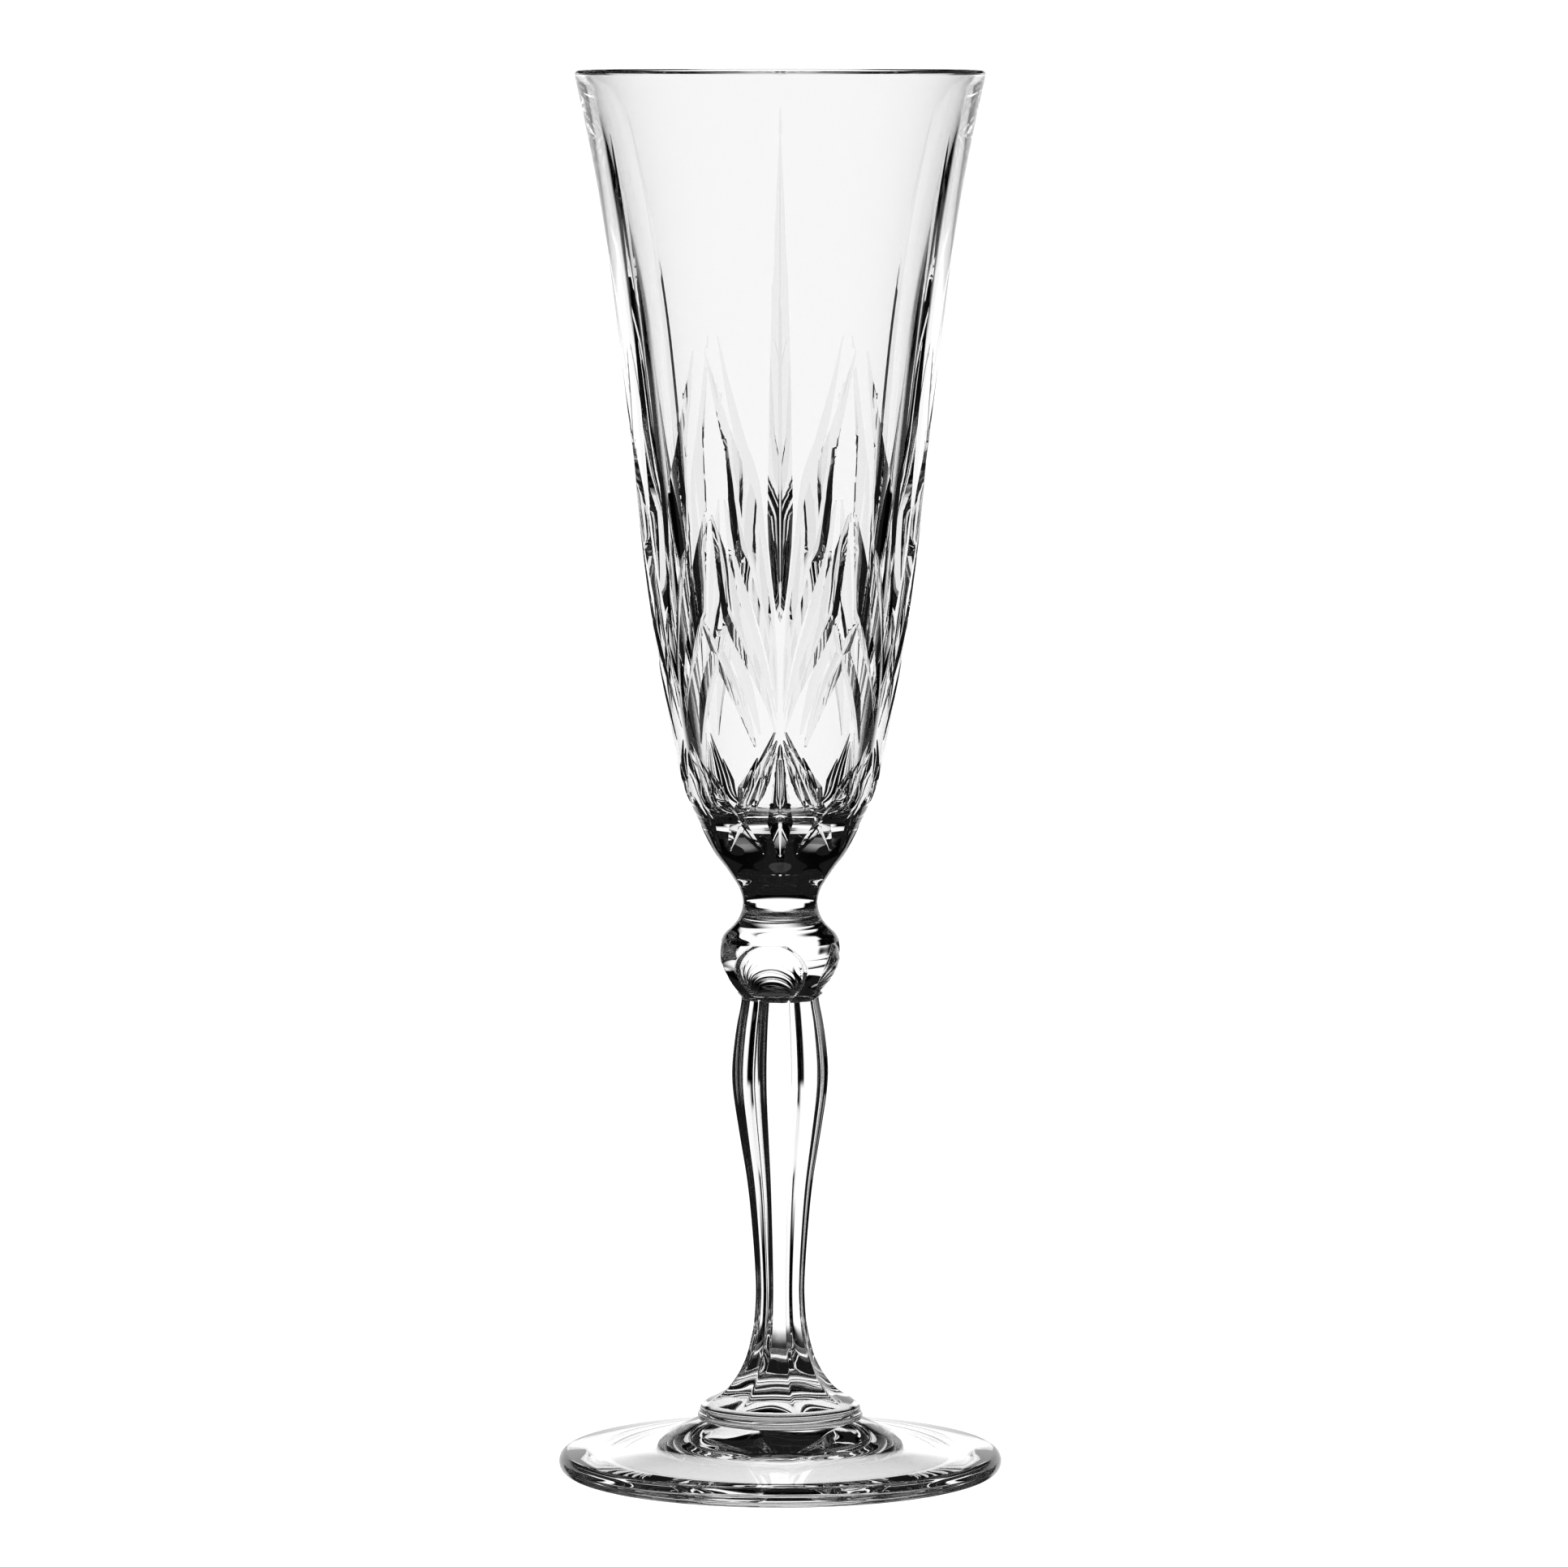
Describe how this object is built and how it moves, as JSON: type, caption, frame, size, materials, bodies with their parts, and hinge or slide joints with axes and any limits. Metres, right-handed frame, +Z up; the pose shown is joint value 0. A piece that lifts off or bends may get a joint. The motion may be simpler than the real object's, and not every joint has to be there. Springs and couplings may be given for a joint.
{
  "type": "champagne flute",
  "caption": "Tall cut-crystal champagne flute with mitre-cut fans, a ridged knop, a panelled baluster stem, a collar and a round foot.",
  "frame": {"origin": "centre of the foot's underside, on the table plane", "axes": "+Z up along the stem and bowl, -Y towards the viewer with one cut fan's centre line facing -Y, +X to the viewer's right"},
  "size_m": [0.0698, 0.0698, 0.22],
  "materials": {
    "crystal": "fire-polished colourless crystal, mirror-bright, with crisp polished mitre cuts"
  },
  "bodies": {
    "root": {"bowl": "crystal", "knop": "crystal", "stem": "crystal", "collar": "crystal", "foot": "crystal"}
  },
  "joints": []
}
